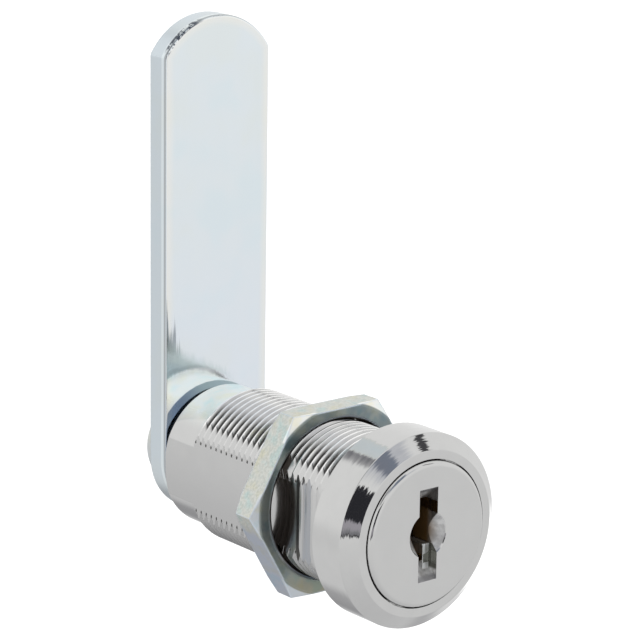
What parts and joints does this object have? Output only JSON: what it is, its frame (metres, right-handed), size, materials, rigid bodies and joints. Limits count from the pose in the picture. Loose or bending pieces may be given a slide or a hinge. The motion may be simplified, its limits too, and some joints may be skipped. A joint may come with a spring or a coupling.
{
  "type": "cam lock",
  "caption": "Cam lock with a round keyed head, threaded barrel with two flats, panel nut and a straight cam that turns 90 degrees with the key plug.",
  "frame": {"origin": "on the lock's axis, in the plane where the head seats on the panel", "axes": "+Y along the axis from the key side to the cam side, +Z the way the cam points at rest, X across the barrel's two flats"},
  "size_m": [0.0254, 0.049, 0.0655],
  "materials": {
    "chrome_casting": "bright chrome plate on a zinc casting",
    "chrome_plug": "bright chrome plate",
    "cam_plate": "bright blue-white zinc plate",
    "nut_plate": "satin zinc plate",
    "zinc_plate": "zinc plate",
    "spring_steel": "bare spring steel",
    "wafer_brass": "stamped brass"
  },
  "bodies": {
    "housing": {"housing": "chrome_casting"},
    "plug": {"plug": "chrome_plug", "retaining_clip": "spring_steel", "stop_washer": "zinc_plate", "cam": "cam_plate", "lock_washer": "zinc_plate", "cam_screw": "zinc_plate", "wafer_spring_1": "spring_steel", "wafer_spring_2": "spring_steel", "wafer_spring_3": "spring_steel", "wafer_spring_4": "spring_steel", "wafer_spring_5": "spring_steel", "wafer_spring_6": "spring_steel", "wafer_spring_7": "spring_steel", "wafer_spring_8": "spring_steel"},
    "wafer_1": {"wafer_1": "wafer_brass"},
    "wafer_2": {"wafer_2": "wafer_brass"},
    "wafer_3": {"wafer_3": "wafer_brass"},
    "wafer_4": {"wafer_4": "wafer_brass"},
    "wafer_5": {"wafer_5": "wafer_brass"},
    "wafer_6": {"wafer_6": "wafer_brass"},
    "wafer_7": {"wafer_7": "wafer_brass"},
    "wafer_8": {"wafer_8": "wafer_brass"},
    "hex_nut": {"hex_nut": "nut_plate"}
  },
  "joints": [
    {"name": "plug_turn", "type": "hinge", "parent": "housing", "child": "plug", "pos_m": [0, 0, 0], "axis": [0, 1, 0], "range_deg": [0, 90]},
    {"name": "wafer_1_slide", "type": "slide", "parent": "plug", "child": "wafer_1", "axis": [0, 0, -1], "range_m": [-0.0009, 0], "stiffness_N_per_m": 60, "springref_m": -0.0013, "deforming": ["wafer_spring_1"]},
    {"name": "wafer_2_slide", "type": "slide", "parent": "plug", "child": "wafer_2", "axis": [0, 0, 1], "range_m": [-0.0009, 0], "stiffness_N_per_m": 60, "springref_m": -0.0013, "deforming": ["wafer_spring_2"]},
    {"name": "wafer_3_slide", "type": "slide", "parent": "plug", "child": "wafer_3", "axis": [0, 0, -1], "range_m": [-0.0009, 0], "stiffness_N_per_m": 60, "springref_m": -0.0013, "deforming": ["wafer_spring_3"]},
    {"name": "wafer_4_slide", "type": "slide", "parent": "plug", "child": "wafer_4", "axis": [0, 0, 1], "range_m": [-0.0009, 0], "stiffness_N_per_m": 60, "springref_m": -0.0013, "deforming": ["wafer_spring_4"]},
    {"name": "wafer_5_slide", "type": "slide", "parent": "plug", "child": "wafer_5", "axis": [0, 0, -1], "range_m": [-0.0009, 0], "stiffness_N_per_m": 60, "springref_m": -0.0013, "deforming": ["wafer_spring_5"]},
    {"name": "wafer_6_slide", "type": "slide", "parent": "plug", "child": "wafer_6", "axis": [0, 0, 1], "range_m": [-0.0009, 0], "stiffness_N_per_m": 60, "springref_m": -0.0013, "deforming": ["wafer_spring_6"]},
    {"name": "wafer_7_slide", "type": "slide", "parent": "plug", "child": "wafer_7", "axis": [0, 0, -1], "range_m": [-0.0009, 0], "stiffness_N_per_m": 60, "springref_m": -0.0013, "deforming": ["wafer_spring_7"]},
    {"name": "wafer_8_slide", "type": "slide", "parent": "plug", "child": "wafer_8", "axis": [0, 0, 1], "range_m": [-0.0009, 0], "stiffness_N_per_m": 60, "springref_m": -0.0013, "deforming": ["wafer_spring_8"]},
    {"name": "nut_travel", "type": "slide", "parent": "housing", "child": "hex_nut", "axis": [0, 1, 0], "range_m": [-0.0083, 0.0139]}
  ]
}
